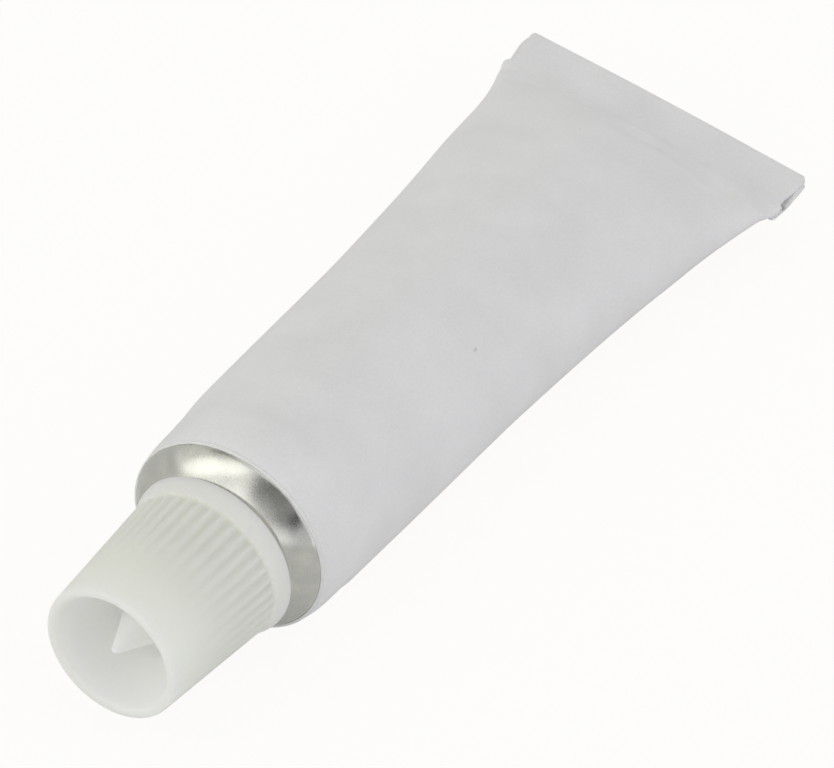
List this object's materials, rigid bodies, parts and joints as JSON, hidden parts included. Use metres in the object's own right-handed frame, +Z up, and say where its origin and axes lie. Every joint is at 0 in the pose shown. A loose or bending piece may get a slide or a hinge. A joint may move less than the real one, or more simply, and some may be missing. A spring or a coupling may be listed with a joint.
{
  "type": "glue tube",
  "caption": "Small sealed metal glue tube with a plain white sleeve, bare shoulder, folded end and a fluted screw cap that holds a piercing spike.",
  "frame": {"origin": "middle of the bounding box in plan, on the floor that the tube lies on", "axes": "+X along the tube from the cap towards the folded end, +Y across it, +Z up"},
  "size_m": [0.0656, 0.0212, 0.0136],
  "materials": {
    "enamelled_sleeve": "satin",
    "cap_plastic": "satin"
  },
  "bodies": {
    "tube_body": {"tube": "enamelled_sleeve"},
    "cap_body": {"cap": "cap_plastic"}
  },
  "joints": [
    {"name": "cap_lift", "type": "slide", "parent": "tube_body", "child": "cap_body", "axis": [-1, 0, 0], "range_m": [0, 0.012]}
  ]
}
